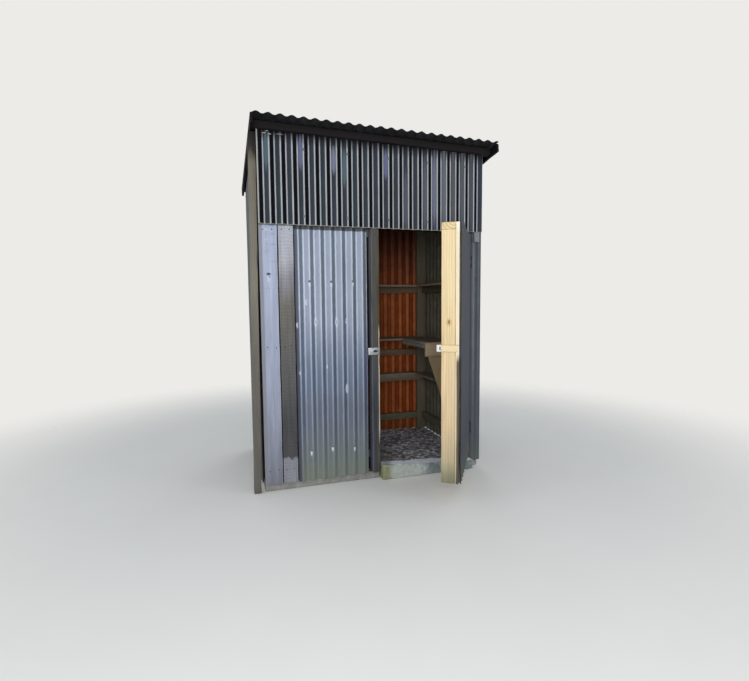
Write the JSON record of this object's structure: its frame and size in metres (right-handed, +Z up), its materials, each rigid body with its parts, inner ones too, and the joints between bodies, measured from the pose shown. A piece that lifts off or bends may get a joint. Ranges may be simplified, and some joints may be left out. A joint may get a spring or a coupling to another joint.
{
  "type": "timber-framed corrugated iron shed",
  "caption": "Small timber-framed shed clad in corrugated iron, with a single-pitch roof, a hinged door, shelves and a bench inside.",
  "frame": {"origin": "middle of the shed's plan at ground level, on the slab's underside", "axes": "+X to the right along the front wall, +Y from the front wall into the shed, +Z up"},
  "size_m": [1.8413, 1.7922, 2.5394],
  "materials": {
    "concrete": "rough, mossy",
    "frame_timber": "weathered",
    "dark_timber": "weathered",
    "corner_timber": "weathered",
    "painted_timber": "flaking paint",
    "board_timber": "weathered",
    "jamb_timber": "weathered",
    "roof_iron": "matt, chalky",
    "barge_paint": "painted",
    "upper_iron": "matt, chalky",
    "lower_iron": "matt, chalky",
    "strip_iron": "matt, chalky",
    "side_iron": "matt, chalky",
    "rust_iron": "faded red paint and rust",
    "shelf_timber": "weathered",
    "bench_timber": "weathered",
    "pine": "sawn, unpainted",
    "strip_pine": "sawn, unpainted",
    "door_iron": "matt, chalky",
    "latch_white": "painted white",
    "zinc": "galvanised"
  },
  "bodies": {
    "shed": {"floor_slab": "concrete", "door_sill": "concrete", "front_left_post": "frame_timber", "door_jamb_post": "frame_timber", "hinge_post": "frame_timber", "back_posts": "frame_timber", "outer_corner_post": "corner_timber", "left_wall_rails": "frame_timber", "right_wall_rails": "frame_timber", "back_wall_rails": "frame_timber", "front_wall_rails": "frame_timber", "door_header": "dark_timber", "front_top_plate": "dark_timber", "back_top_plate": "dark_timber", "rafters": "dark_timber", "roof_battens": "dark_timber", "roof_sheet_left": "roof_iron", "roof_sheet_right": "roof_iron", "barge_boards": "barge_paint", "front_upper_sheet": "upper_iron", "front_lower_sheet": "lower_iron", "front_board_left": "painted_timber", "front_board_inner": "board_timber", "jamb_board": "jamb_timber", "hinge_side_sheet": "strip_iron", "hinge_side_block": "strip_iron", "left_wall_sheet": "side_iron", "right_wall_sheet": "side_iron", "back_wall_sheet": "rust_iron", "upper_shelf": "shelf_timber", "bench_back": "bench_timber", "bench_right": "bench_timber", "bench_end_board": "shelf_timber", "bench_brace": "bench_timber", "lower_shelf": "shelf_timber", "latch_keeper": "zinc", "post_hinges": "zinc"},
    "door": {"door_free_stile": "pine", "door_hinge_stile": "pine", "door_rails": "pine", "door_strips": "strip_pine", "door_sheet": "door_iron", "latch_packer": "strip_pine", "latch_case": "latch_white", "door_hinges": "zinc"}
  },
  "joints": [
    {"name": "door_hinge", "type": "hinge", "parent": "shed", "child": "door", "pos_m": [0.7545, -0.549, 0.975], "axis": [0, 0, 1], "range_deg": [-56.5, 90]}
  ]
}
